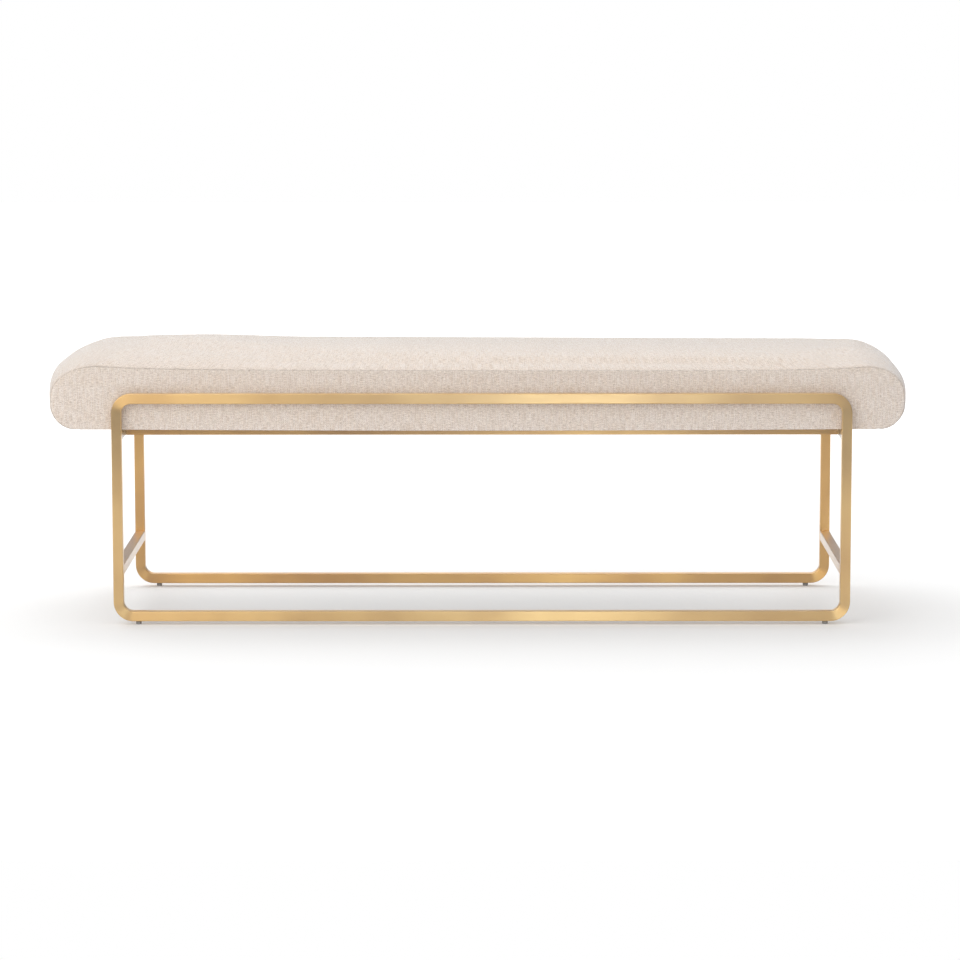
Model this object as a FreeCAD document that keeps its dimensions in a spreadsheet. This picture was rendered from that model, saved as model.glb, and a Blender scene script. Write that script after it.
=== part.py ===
# Sled bench: a long upholstered seat held between two bent loops of square tube.
# X runs along the seat, the front faces -Y and Z is up. The origin is on the floor, under the middle.
import FreeCAD, Part
import Sketcher
import math
import os
from types import SimpleNamespace

# Driving dimensions in millimetres: alias, value, what it measures.
DRIVING_SIZES = [
    ("frame_length", 1316, "outer length of each loop"),
    ("frame_depth", 438, "front face of the front loop to the back face of the rear loop"),
    ("loop_height", 409, "outer height of each loop"),
    ("tube_side", 18, "outside of the square tube"),
    ("tube_wall", 1.5, "wall of the square tube"),
    ("tube_edge", 1.6, "rounding along the tube's edges"),
    ("bend_radius", 35, "outside radius of the loop's bends"),
    ("stretcher_height", 88, "floor to the underside of the low side stretchers"),
    ("seat_height", 349, "floor to the top of the tubes that carry the seat"),
    ("rail_setback", 70, "loop to seat rail, measured along the depth"),
    ("foot_height", 6, "floor to the underside of the loops"),
    ("foot_inset", 44, "end of the loop to the middle of a foot"),
    ("glide_diameter", 10, "plastic glide under the foot"),
    ("glide_edge", 0.8, "chamfer round the glide"),
    ("glide_gap", 0.25, "glide to rail with the foot screwed home"),
    ("stud_diameter", 6, "threaded stud of the foot"),
    ("stud_reach", 15, "stud above the glide"),
    ("stud_seat", 3, "stud inside the glide"),
    ("stud_tip", 0.6, "chamfer at the stud's tip"),
    ("bush_diameter", 9, "threaded bush pressed into the rail"),
    ("bush_length", 14, "threaded bush along its bore"),
    ("press_gap", 0.05, "radial gap of a threaded or pressed fit"),
    ("cushion_length", 1522, "seat along its front seam"),
    ("panel_rise", 113.5, "underside of the seat to the seam along its upper edge"),
    ("lower_corner", 46, "corner radius of the front panel, lower end"),
    ("end_corner", 40, "radius where the seat's ends turn towards its top"),
    ("shoulder_reach", 73, "length of the rounding at each upper end of the front panel"),
    ("shoulder_drop", 54, "height of the rounding at each upper end of the front panel"),
    ("crown_reach", 64, "how much longer that rounding is across the seat's middle"),
    ("crown_drop", 9.5, "how much higher that rounding is across the seat's middle"),
    ("top_crown", 24.5, "rise of the seat's middle over its seams"),
    ("end_crown", 8.5, "swell of each end past its seams"),
    ("cushion_gap", 0.5, "loop to seat cover"),
    ("cover_thickness", 1.2, "woven cover with its lining"),
    ("foam_gap", 0.3, "foam to cover and board"),
    ("hem_width", 30, "cover turned under the board"),
    ("board_thickness", 15, "plywood board"),
    ("board_edge_inset", 12, "front of the cushion to the board"),
    ("board_end_inset", 52, "end of the cushion to the board"),
    ("bolt_diameter", 6, "shank of a seat bolt"),
    ("bolt_length", 16, "seat bolt under its head"),
    ("bolt_head_diameter", 10.5, "button head"),
    ("bolt_head_height", 3.3, "button head"),
    ("bolt_head_edge", 1.2, "chamfer of the button head"),
    ("socket_width", 4, "hexagon socket across its flats"),
    ("socket_depth", 2, "hexagon socket"),
    ("bolt_spacing", 480, "from bolt to bolt along a seat rail"),
    ("bolt_hole_gap", 0.25, "radial gap round a seat bolt"),
    ("bolt_access", 13, "hole in a seat rail's underside for a bolt and its washer"),
    ("washer_diameter", 12, "washer under the bolt head"),
    ("washer_thickness", 1.6, "washer under the bolt head"),
    ("nut_flange_diameter", 19, "flange of a tee nut"),
    ("nut_flange_thickness", 1.5, "flange of a tee nut"),
    ("nut_barrel_diameter", 8, "barrel of a tee nut"),
    ("nut_barrel_length", 11, "barrel of a tee nut under its flange"),
    ("staple_width", 10, "crown of a staple"),
    ("staple_leg", 8, "leg of a staple"),
    ("staple_wire", 0.8, "wire of a staple"),
    ("staple_inset", 8, "edge of the board to a row of staples"),
    ("staple_end_gap", 20, "middle of a row's last staple to the hem's end or the nearest tube"),
]

# Whole counts.
BOLTS_PER_RAIL = 3
STAPLES_PER_LONG_HEM = 13
STAPLES_PER_END_HEM = 4

# The seat swells from its seams as (1 - |s|^POWER)^ROOT, with s from -1 at the front to 1 at the back.
SWELL_POWER = 3.0
SWELL_ROOT = 0.9
SWELL_STATIONS = (-1, -0.985, -0.93, -0.8, -0.55, -0.2, 0.2, 0.55, 0.8, 0.93, 0.985, 1)

# A corner of a hexagon lies this far from its middle, for a width across flats of one.
HEXAGON_CORNER = 3 ** -0.5

# A flat face whose normal has more than this along the depth faces the front or the back.
SQUARE_TO_DEPTH = 0.99

# Largest share of its side that a rounded corner may take.
CORNER_SHARE = 0.48


class Size:
    """A length with its spreadsheet formula beside its present value."""

    def __init__(self, formula, value):
        self.formula = formula
        self.value = value

    def __add__(self, other):
        other = as_size(other)
        return Size(f"({self.formula} + {other.formula})", self.value + other.value)

    def __sub__(self, other):
        other = as_size(other)
        return Size(f"({self.formula} - {other.formula})", self.value - other.value)

    def __mul__(self, factor):
        factor = as_size(factor)
        return Size(f"({self.formula} * {factor.formula})", self.value * factor.value)

    def __truediv__(self, divisor):
        divisor = as_size(divisor)
        return Size(f"({self.formula} / {divisor.formula})", self.value / divisor.value)

    def __neg__(self):
        return self * -1


def as_size(number):
    if isinstance(number, Size):
        return number
    return Size(f"({number})", number)


def smaller(first, second):
    return Size(f"min({first.formula}; {second.formula})", min(first.value, second.value))


def size_sheet(document):
    sheet = document.addObject("Spreadsheet::Sheet", "Sizes")
    for row, (alias, value, meaning) in enumerate(DRIVING_SIZES, start=1):
        sheet.set(f"A{row}", alias)
        sheet.set(f"B{row}", str(value))
        sheet.setAlias(f"B{row}", alias)
        sheet.set(f"C{row}", meaning)
    document.recompute()
    return SimpleNamespace(**{
        alias: Size(f"Sizes.{alias}", float(sheet.get(alias)))
        for alias, _, _ in DRIVING_SIZES
    })


doc = FreeCAD.newDocument("SledBench")
size = size_sheet(doc)
subparts = []


# Sketches and features that every sub-part shares.

def new_body(name, x=0, y=0, z=0):
    body = doc.addObject("PartDesign::Body", name)
    body.Label = name
    for axis, place in zip("xyz", (x, y, z)):
        body.setExpression(f"Placement.Base.{axis}", as_size(place).formula)
    subparts.append(body)
    return body


def origin_feature(body, role):
    return next(feature for feature in body.Origin.OriginFeatures if feature.Role == role)


def new_sketch(body, name, plane, lift=0):
    sketch = body.newObject("Sketcher::SketchObject", name)
    sketch.AttachmentSupport = [(origin_feature(body, plane), "")]
    sketch.MapMode = "FlatFace"
    sketch.setExpression("AttachmentOffset.Base.z", as_size(lift).formula)
    return sketch


def bind(sketch, kind, where, name, length):
    index = sketch.addConstraint(Sketcher.Constraint(kind, *where, length.value))
    sketch.renameConstraint(index, name)
    sketch.setExpression(f"Constraints.{name}", length.formula)


def place_point(sketch, geometry, corner, name, x, y):
    for kind, axis, tag, length in (("DistanceX", -2, "x", as_size(x)), ("DistanceY", -1, "y", as_size(y))):
        if length.value == 0:
            sketch.addConstraint(Sketcher.Constraint("PointOnObject", geometry, corner, axis))
        else:
            bind(sketch, kind, (-1, 1, geometry, corner), f"{name}_{tag}", length)


def polygon(sketch, name, corners):
    points = [FreeCAD.Vector(as_size(x).value, as_size(y).value, 0) for x, y in corners]
    first = sketch.GeometryCount
    for start, end in zip(points, points[1:] + points[:1]):
        sketch.addGeometry(Part.LineSegment(start, end))
    for index, (x, y) in enumerate(corners):
        after = (index + 1) % len(corners)
        sketch.addConstraint(Sketcher.Constraint("Coincident", first + index, 2, first + after, 1))
        place_point(sketch, first + index, 1, f"{name}_{index}", x, y)


def rectangle(sketch, name, half_width, half_height):
    polygon(sketch, name, [
        (-half_width, -half_height),
        (half_width, -half_height),
        (half_width, half_height),
        (-half_width, half_height),
    ])


def circle(sketch, name, x, y, diameter):
    middle = FreeCAD.Vector(as_size(x).value, as_size(y).value, 0)
    index = sketch.addGeometry(Part.Circle(middle, FreeCAD.Vector(0, 0, 1), diameter.value / 2))
    place_point(sketch, index, 3, name, x, y)
    bind(sketch, "Diameter", (index,), f"{name}_diameter", diameter)


def rounded_outline(sketch, name, half_width, bottom, top, lower_radius, upper_radius):
    """Four lines and four quarter arcs, even about the vertical axis."""
    right, low, high = half_width.value, as_size(bottom).value, top.value
    lower, upper = lower_radius.value, upper_radius.value
    quarter = math.pi / 2
    corners = [
        (right - lower, low + lower, lower, -quarter),
        (right - upper, high - upper, upper, 0),
        (upper - right, high - upper, upper, quarter),
        (lower - right, low + lower, lower, 2 * quarter),
    ]
    arcs = [
        Part.ArcOfCircle(
            Part.Circle(FreeCAD.Vector(x, y, 0), FreeCAD.Vector(0, 0, 1), radius), start, start + quarter
        )
        for x, y, radius, start in corners
    ]
    first = sketch.GeometryCount
    for index, arc in enumerate(arcs):
        sketch.addGeometry(Part.LineSegment(arcs[index - 1].EndPoint, arc.StartPoint))
        sketch.addGeometry(arc)
    bottom_line, right_line, top_line, left_line = range(first, first + 8, 2)
    low_right, high_right, high_left, low_left = range(first + 1, first + 8, 2)
    for index in range(8):
        after = first + (index + 1) % 8
        sketch.addConstraint(Sketcher.Constraint("Tangent", first + index, 2, after, 1))
    for line in (bottom_line, top_line):
        sketch.addConstraint(Sketcher.Constraint("Horizontal", line))
    for line in (right_line, left_line):
        sketch.addConstraint(Sketcher.Constraint("Vertical", line))
    sketch.addConstraint(Sketcher.Constraint("Equal", low_right, low_left))
    sketch.addConstraint(Sketcher.Constraint("Equal", high_right, high_left))
    bind(sketch, "Radius", (low_right,), f"{name}_lower_radius", lower_radius)
    bind(sketch, "Radius", (high_right,), f"{name}_upper_radius", upper_radius)
    bind(sketch, "DistanceX", (-1, 1, right_line, 1), f"{name}_right", half_width)
    bind(sketch, "DistanceX", (-1, 1, left_line, 1), f"{name}_left", -half_width)
    bind(sketch, "DistanceY", (-1, 1, top_line, 1), f"{name}_top", top)
    if low == 0:
        sketch.addConstraint(Sketcher.Constraint("PointOnObject", bottom_line, 1, -1))
    else:
        bind(sketch, "DistanceY", (-1, 1, bottom_line, 1), f"{name}_bottom", bottom)


def pad(body, name, sketch, length, side="One side", reverse=False):
    feature = body.newObject("PartDesign::Pad", name)
    feature.Profile = sketch
    feature.SideType = side
    feature.Reversed = reverse
    feature.setExpression("Length", length.formula)
    doc.recompute()
    return feature


def pocket(body, name, sketch, length, side="One side", reverse=False):
    """Cut a sketch out of the body, and make sure that the cut took something away."""
    before = body.Shape.Volume
    feature = body.newObject("PartDesign::Pocket", name)
    feature.Profile = sketch
    feature.SideType = side
    feature.Reversed = reverse
    feature.setExpression("Length", length.formula)
    doc.recompute()
    if body.Shape.Volume >= before:
        raise RuntimeError(f"{body.Label}: {name} cuts nothing")
    return feature


def revolve(body, name, corners):
    sketch = new_sketch(body, f"{name}_profile", "XZ_Plane")
    polygon(sketch, name, corners)
    feature = body.newObject("PartDesign::Revolution", name)
    feature.Profile = sketch
    feature.ReferenceAxis = (sketch, ["V_Axis"])
    feature.Angle = 360
    doc.recompute()
    return feature


def pattern(body, name, originals, axis, spacing, count):
    """Repeat features along an axis, or the whole piece where originals is empty."""
    feature = body.newObject("PartDesign::LinearPattern", name)
    if originals:
        feature.Originals = originals
    else:
        feature.TransformMode = "Whole shape"
    feature.Direction = (origin_feature(body, axis), [""])
    feature.Mode = "Spacing"
    feature.setExpression("Offset", spacing.formula)
    feature.Occurrences = count
    body.Tip = feature
    doc.recompute()
    return feature


# Places that several pieces share.
loop_middle_y = (size.frame_depth - size.tube_side) / 2
loop_inner_y = size.frame_depth / 2 - size.tube_side
leg_middle_x = (size.frame_length - size.tube_side) / 2
between_legs = size.frame_length - size.tube_side * 2
between_loops = loop_inner_y * 2
foot_x = size.frame_length / 2 - size.foot_inset
rail_y = loop_inner_y - size.rail_setback - size.tube_side / 2
carrier_z = size.seat_height - size.tube_side / 2
first_bolt_x = size.bolt_spacing * (-(BOLTS_PER_RAIL - 1) / 2)
cavity_half = size.tube_side / 2 - size.tube_wall
bolt_hole = size.bolt_diameter + size.bolt_hole_gap * 2


# Frame: two bent loops, two low stretchers, two seat bearers and two seat rails.

def tube_loop(name, y):
    body = new_body(name, y=y, z=size.foot_height + size.loop_height / 2)
    half_length = size.frame_length / 2
    half_height = size.loop_height / 2
    inner_bend = smaller(size.bend_radius - size.tube_side, half_height * CORNER_SHARE)

    def ring(sketch, depth, tag):
        side = size.tube_side - depth
        outer_bend = inner_bend + side
        outer_height = half_height - depth
        rounded_outline(
            sketch, f"{tag}_outer", half_length - depth, -outer_height, outer_height, outer_bend, outer_bend
        )
        window_bend = inner_bend + depth
        window_height = half_height - side
        window_half = half_length - side
        rounded_outline(
            sketch, f"{tag}_window", window_half, -window_height, window_height, window_bend, window_bend
        )

    outside = new_sketch(body, f"{name}_outside", "XZ_Plane")
    ring(outside, as_size(0), "tube")
    bar = pad(body, f"{name}_bar", outside, size.tube_side, "Symmetric")
    flat_faces = [
        f"Face{index}"
        for index, face in enumerate(bar.Shape.Faces, start=1)
        if isinstance(face.Surface, Part.Plane) and abs(face.normalAt(0, 0).y) > SQUARE_TO_DEPTH
    ]
    rounding = body.newObject("PartDesign::Fillet", f"{name}_edges")
    rounding.Base = (bar, flat_faces)
    rounding.setExpression("Radius", size.tube_edge.formula)
    doc.recompute()
    cavity = new_sketch(body, f"{name}_cavity", "XZ_Plane")
    ring(cavity, size.tube_wall, "cavity")
    pocket(body, f"{name}_bore", cavity, cavity_half * 2, "Symmetric")
    holes = new_sketch(body, f"{name}_foot_holes", "XY_Plane", lift=-half_height)
    for tag, x in (("left", -foot_x), ("right", foot_x)):
        circle(holes, tag, x, 0, size.bush_diameter + size.press_gap * 2)
    pocket(body, f"{name}_foot_bores", holes, size.tube_side / 2, reverse=True)


def square_tube(body, name, plane, length):
    section = new_sketch(body, f"{name}_section", plane)
    half = size.tube_side / 2
    rounded_outline(section, "tube", half, -half, half, size.tube_edge, size.tube_edge)
    rectangle(section, "cavity", cavity_half, cavity_half)
    return pad(body, f"{name}_tube", section, length, "Symmetric")


def cross_tube(name, x, z):
    square_tube(new_body(name, x=x, z=z), name, "XZ_Plane", between_loops)


def seat_rail(name, y):
    body = new_body(name, y=y, z=carrier_z)
    square_tube(body, name, "YZ_Plane", between_legs)
    hole = new_sketch(body, f"{name}_hole", "XY_Plane")
    circle(hole, "bolt", first_bolt_x, 0, bolt_hole)
    bore = pocket(body, f"{name}_bore", hole, size.tube_side / 2, reverse=True)
    opening = new_sketch(body, f"{name}_opening", "XY_Plane")
    circle(opening, "access", first_bolt_x, 0, size.bolt_access)
    access = pocket(body, f"{name}_access", opening, size.tube_side / 2)
    pattern(body, f"{name}_bores", [bore, access], "X_Axis", size.bolt_spacing, BOLTS_PER_RAIL)


tube_loop("front_loop", -loop_middle_y)
tube_loop("rear_loop", loop_middle_y)
for side, leg_x in (("left", -leg_middle_x), ("right", leg_middle_x)):
    cross_tube(f"{side}_stretcher", leg_x, size.stretcher_height + size.tube_side / 2)
    cross_tube(f"{side}_seat_bearer", leg_x, carrier_z)
seat_rail("front_seat_rail", -rail_y)
seat_rail("rear_seat_rail", rail_y)


# Feet: a threaded bush in the rail, and a stud with a glide that screws in and out of it.

stud_radius = size.stud_diameter / 2
bush_bore = stud_radius + size.press_gap
glide_top = size.foot_height - size.glide_gap


def foot_bushes():
    body = new_body("foot_bushes", x=-foot_x, y=-loop_middle_y, z=size.foot_height)
    revolve(body, "bush", [
        (bush_bore, 0),
        (size.bush_diameter / 2, 0),
        (size.bush_diameter / 2, size.bush_length),
        (bush_bore, size.bush_length),
    ])
    pattern(body, "bush_pair", [], "X_Axis", foot_x * 2, 2)
    pattern(body, "bush_rows", [], "Y_Axis", loop_middle_y * 2, 2)


def levelling_foot(name, x, y):
    glide = new_body(f"{name}_glide", x=x, y=y)
    radius = size.glide_diameter / 2
    socket = glide_top - size.stud_seat
    revolve(glide, f"{name}_glide_turning", [
        (0, 0),
        (radius - size.glide_edge, 0),
        (radius, size.glide_edge),
        (radius, glide_top - size.glide_edge),
        (radius - size.glide_edge, glide_top),
        (stud_radius, glide_top),
        (stud_radius, socket),
        (0, socket),
    ])
    stud = new_body(f"{name}_stud", x=x, y=y, z=socket)
    length = size.stud_seat + size.stud_reach
    revolve(stud, f"{name}_stud_turning", [
        (0, 0),
        (stud_radius, 0),
        (stud_radius, length - size.stud_tip),
        (stud_radius - size.stud_tip, length),
        (0, length),
    ])


foot_bushes()
for row, foot_y in (("front", -loop_middle_y), ("rear", loop_middle_y)):
    for side, x in (("left", -foot_x), ("right", foot_x)):
        levelling_foot(f"{row}_{side}_foot", x, foot_y)


# Seat board with the bolts that hold it to the rails.

cover_half_depth = loop_inner_y - size.cushion_gap
band_half_depth = cover_half_depth - size.cover_thickness
cushion_half_length = size.cushion_length / 2
board_half_length = cushion_half_length - size.board_end_inset
board_half_depth = band_half_depth - size.board_edge_inset
board_base_z = size.seat_height + size.cover_thickness
nut_hole = size.nut_barrel_diameter + size.press_gap * 2
nut_recess = size.nut_flange_diameter + size.press_gap * 2
# the bolts' heads and washers sit inside the seat rails, under their upper walls
under_bolt_head_z = size.seat_height - size.tube_wall - size.washer_thickness


def bolt_circles(body, name, lift, diameter):
    sketch = new_sketch(body, name, "XY_Plane", lift=lift)
    for tag, y in (("front", -rail_y), ("rear", rail_y)):
        circle(sketch, tag, first_bolt_x, y, diameter)
    return sketch


def seat_board():
    body = new_body("seat_board", z=board_base_z)
    outline = new_sketch(body, "board_outline", "XY_Plane")
    rectangle(outline, "board", board_half_length, board_half_depth)
    pad(body, "board_sheet", outline, size.board_thickness)
    through = bolt_circles(body, "board_holes", 0, nut_hole)
    bores = pocket(body, "board_bores", through, size.board_thickness, reverse=True)
    flange = bolt_circles(body, "board_recesses", size.board_thickness, nut_recess)
    recesses = pocket(body, "board_counterbores", flange, size.nut_flange_thickness)
    pattern(body, "board_bolt_places", [bores, recesses], "X_Axis", size.bolt_spacing, BOLTS_PER_RAIL)


def repeat_at_bolts(body, name):
    pattern(body, f"{name}_along_rail", [], "X_Axis", size.bolt_spacing, BOLTS_PER_RAIL)
    pattern(body, f"{name}_on_both_rails", [], "Y_Axis", rail_y * 2, 2)


def tee_nuts():
    barrel_base = board_base_z + size.board_thickness - size.nut_flange_thickness - size.nut_barrel_length
    body = new_body("tee_nuts", x=first_bolt_x, y=-rail_y, z=barrel_base)
    bore = size.bolt_diameter / 2 + size.press_gap
    top = size.nut_barrel_length + size.nut_flange_thickness
    revolve(body, "tee_nut", [
        (bore, 0),
        (size.nut_barrel_diameter / 2, 0),
        (size.nut_barrel_diameter / 2, size.nut_barrel_length),
        (size.nut_flange_diameter / 2, size.nut_barrel_length),
        (size.nut_flange_diameter / 2, top),
        (bore, top),
    ])
    repeat_at_bolts(body, "tee_nut")


def seat_washers():
    body = new_body("seat_washers", x=first_bolt_x, y=-rail_y, z=under_bolt_head_z)
    revolve(body, "washer", [
        (bolt_hole / 2, 0),
        (size.washer_diameter / 2, 0),
        (size.washer_diameter / 2, size.washer_thickness),
        (bolt_hole / 2, size.washer_thickness),
    ])
    repeat_at_bolts(body, "washer")


def seat_bolts():
    body = new_body("seat_bolts", x=first_bolt_x, y=-rail_y, z=under_bolt_head_z)
    head = size.bolt_head_diameter / 2
    shank = size.bolt_diameter / 2
    revolve(body, "bolt", [
        (0, -size.bolt_head_height),
        (head - size.bolt_head_edge, -size.bolt_head_height),
        (head, size.bolt_head_edge - size.bolt_head_height),
        (head, 0),
        (shank, 0),
        (shank, size.bolt_length - size.stud_tip),
        (shank - size.stud_tip, size.bolt_length),
        (0, size.bolt_length),
    ])
    socket = new_sketch(body, "bolt_socket", "XY_Plane", lift=-size.bolt_head_height)
    flat = size.socket_width / 2
    corner = size.socket_width * HEXAGON_CORNER
    polygon(socket, "hexagon", [
        (flat, -corner / 2),
        (flat, corner / 2),
        (0, corner),
        (-flat, corner / 2),
        (-flat, -corner / 2),
        (0, -corner),
    ])
    pocket(body, "bolt_socket_cut", socket, size.socket_depth, reverse=True)
    repeat_at_bolts(body, "bolt")


seat_board()
tee_nuts()
seat_washers()
seat_bolts()


# Cushion: foam over the board, a cover band over top and ends, a flat panel front and back.

lower_corner = smaller(size.lower_corner, size.panel_rise * CORNER_SHARE)
shoulder_drop = smaller(size.shoulder_drop, size.panel_rise * CORNER_SHARE)
hem_end_x = cushion_half_length - lower_corner
hem_inner_x = hem_end_x - size.hem_width
hem_inner_y = band_half_depth - size.hem_width


def swell(station):
    return (1 - abs(station) ** SWELL_POWER) ** SWELL_ROOT


def seat_outline(sketch, name, half_width, bottom, top, lower_radius, end_radius, shoulder_radius, reach):
    """A flat base with round lower corners, and ends that turn into the top by two arcs each."""
    right, low, high = half_width.value, as_size(bottom).value, top.value
    lower, small, large = lower_radius.value, end_radius.value, shoulder_radius.value
    quarter = math.pi / 2
    flat = right - reach.value
    # The two arcs of a shoulder meet on the line through their middles.
    meet = math.acos((right - small - flat) / (large - small))
    end_height = high - large + (large - small) * math.sin(meet)
    arcs = [
        (right - lower, low + lower, lower, -quarter, 0),
        (right - small, end_height, small, 0, meet),
        (flat, high - large, large, meet, quarter),
        (-flat, high - large, large, quarter, 2 * quarter - meet),
        (small - right, end_height, small, 2 * quarter - meet, 2 * quarter),
        (lower - right, low + lower, lower, 2 * quarter, 3 * quarter),
    ]
    low_right, end_right, shoulder_right, shoulder_left, end_left, low_left = [
        Part.ArcOfCircle(Part.Circle(FreeCAD.Vector(x, y, 0), FreeCAD.Vector(0, 0, 1), radius), start, stop)
        for x, y, radius, start, stop in arcs
    ]
    path = [
        ("base", Part.LineSegment(low_left.EndPoint, low_right.StartPoint)),
        ("low_right", low_right),
        ("right", Part.LineSegment(low_right.EndPoint, end_right.StartPoint)),
        ("end_right", end_right),
        ("shoulder_right", shoulder_right),
        ("top", Part.LineSegment(shoulder_right.EndPoint, shoulder_left.StartPoint)),
        ("shoulder_left", shoulder_left),
        ("end_left", end_left),
        ("left", Part.LineSegment(end_left.EndPoint, low_left.StartPoint)),
        ("low_left", low_left),
    ]
    line = {tag: sketch.addGeometry(piece) for tag, piece in path}
    order = list(line.values())
    for index, after in zip(order, order[1:] + order[:1]):
        sketch.addConstraint(Sketcher.Constraint("Tangent", index, 2, after, 1))
    for kind, tags in (("Horizontal", ("base", "top")), ("Vertical", ("right", "left"))):
        for tag in tags:
            sketch.addConstraint(Sketcher.Constraint(kind, line[tag]))
    for kind, radius in (("low", lower_radius), ("end", end_radius), ("shoulder", shoulder_radius)):
        sketch.addConstraint(Sketcher.Constraint("Equal", line[f"{kind}_right"], line[f"{kind}_left"]))
        bind(sketch, "Radius", (line[f"{kind}_right"],), f"{name}_{kind}_radius", radius)
    level_width = half_width - reach
    for tag, corner, across in (
        ("right", 1, half_width), ("left", 1, -half_width), ("top", 1, level_width), ("top", 2, -level_width)
    ):
        bind(sketch, "DistanceX", (-1, 1, line[tag], corner), f"{name}_{tag}_{corner}_x", across)
    bind(sketch, "DistanceY", (-1, 1, line["top"], 1), f"{name}_top_y", top)
    if low == 0:
        sketch.addConstraint(Sketcher.Constraint("PointOnObject", line["base"], 1, -1))
    else:
        bind(sketch, "DistanceY", (-1, 1, line["base"], 1), f"{name}_base_y", bottom)


def cushion_outline(sketch, name, station, inset):
    """The seat's cross outline at a station of its depth, drawn in by an inset all round."""
    half_length = cushion_half_length + size.end_crown * swell(station) - inset
    top = size.panel_rise + size.top_crown * swell(station) - inset
    end_radius = size.end_corner - inset
    reach = size.shoulder_reach + size.crown_reach * swell(station) - inset
    drop = shoulder_drop + size.crown_drop * swell(station) - inset
    # The upper arc that fits between the end's arc and the flat top.
    overhang = reach - end_radius
    shoulder = (overhang * overhang + drop * drop - end_radius * end_radius) / ((drop - end_radius) * 2)
    seat_outline(sketch, name, half_length, inset, top, lower_corner - inset, end_radius, shoulder, reach)


def cushion_loft(body, name, half_depth, insets):
    """A loft through the outlines at every station, hollow where two insets are given."""
    sections = []
    for index, station in enumerate(SWELL_STATIONS):
        # The plane of the outline faces -Y, so a lift towards the back is negative.
        sketch = new_sketch(body, f"{name}_section_{index}", "XZ_Plane", lift=half_depth * -station)
        for layer, inset in enumerate(insets):
            cushion_outline(sketch, f"outline_{layer}", station, inset)
        sections.append(sketch)
    doc.recompute()
    loft = body.newObject("PartDesign::AdditiveLoft", name)
    loft.Profile = sections[0]
    loft.Sections = sections[1:]
    loft.Refine = False
    doc.recompute()
    return loft


def foam_core():
    body = new_body("foam_core", z=size.seat_height)
    inset = size.cover_thickness + size.foam_gap
    cushion_loft(body, "foam_block", band_half_depth - size.foam_gap, [inset])
    recess = new_sketch(body, "foam_board_recess", "XY_Plane")
    rectangle(recess, "board", board_half_length + size.foam_gap, board_half_depth + size.foam_gap)
    depth = size.cover_thickness + size.board_thickness
    pocket(body, "foam_board_place", recess, depth, reverse=True)


def top_band():
    body = new_body("top_band", z=size.seat_height)
    cushion_loft(body, "band_shell", band_half_depth, [as_size(0), size.cover_thickness])
    opening = new_sketch(body, "band_opening", "XY_Plane")
    rectangle(opening, "opening", hem_inner_x, size.frame_depth / 2)
    pocket(body, "band_open_base", opening, size.cover_thickness, reverse=True)


def end_panel(name, way):
    """A panel closing the band at the front or back, with a hem turned under the board."""
    body = new_body(name, y=band_half_depth * way, z=size.seat_height)
    face = new_sketch(body, f"{name}_outline", "XZ_Plane")
    cushion_outline(face, "panel", 1, as_size(0))
    pad(body, f"{name}_sheet", face, size.cover_thickness, reverse=way > 0)
    hem = new_sketch(body, f"{name}_hem_outline", "XY_Plane")
    polygon(hem, "hem", [
        (-hem_inner_x, 0),
        (hem_inner_x, 0),
        (hem_inner_x, size.hem_width * -way),
        (-hem_inner_x, size.hem_width * -way),
    ])
    pad(body, f"{name}_hem", hem, size.cover_thickness)


def dust_cover():
    body = new_body("dust_cover", z=size.seat_height)
    outline = new_sketch(body, "dust_outline", "XY_Plane")
    rectangle(outline, "cloth", hem_inner_x, hem_inner_y)
    pad(body, "dust_sheet", outline, size.cover_thickness)
    circles = bolt_circles(body, "dust_holes", 0, bolt_hole)
    bores = pocket(body, "dust_bores", circles, size.cover_thickness, reverse=True)
    pattern(body, "dust_bolt_places", [bores], "X_Axis", size.bolt_spacing, BOLTS_PER_RAIL)


def staple_outline(sketch, name, middle):
    outer = size.staple_width / 2
    inner = outer - size.staple_wire
    polygon(sketch, name, [
        (middle - outer, -size.staple_wire),
        (middle + outer, -size.staple_wire),
        (middle + outer, size.staple_leg),
        (middle + inner, size.staple_leg),
        (middle + inner, 0),
        (middle - inner, 0),
        (middle - inner, size.staple_leg),
        (middle - outer, size.staple_leg),
    ])


def hem_staples(name, plane, along, half_row, lift, count):
    """One row of staples in a hem, with their legs up in the board."""
    body = new_body(name, z=size.seat_height)
    sketch = new_sketch(body, f"{name}_wire", plane, lift=lift)
    staple_outline(sketch, "staple", -half_row)
    pad(body, f"{name}_staple", sketch, size.staple_wire, "Symmetric")
    pattern(body, f"{name}_row", [], along, half_row * 2 / (count - 1), count)


foam_core()
top_band()
end_panel("front_panel", -1)
end_panel("rear_panel", 1)
dust_cover()
long_half_row = smaller(hem_inner_x, between_legs / 2) - size.staple_end_gap
end_half_row = rail_y - size.tube_side / 2 - size.staple_end_gap
long_row_y = board_half_depth - size.staple_inset
end_row_x = smaller(board_half_length, hem_end_x) - size.staple_inset
hem_staples("front_hem_staples", "XZ_Plane", "X_Axis", long_half_row, long_row_y, STAPLES_PER_LONG_HEM)
hem_staples("rear_hem_staples", "XZ_Plane", "X_Axis", long_half_row, -long_row_y, STAPLES_PER_LONG_HEM)
hem_staples("left_hem_staples", "YZ_Plane", "Y_Axis", end_half_row, -end_row_x, STAPLES_PER_END_HEM)
hem_staples("right_hem_staples", "YZ_Plane", "Y_Axis", end_half_row, end_row_x, STAPLES_PER_END_HEM)


# Check the document, then write one file for each sub-part.

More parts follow.
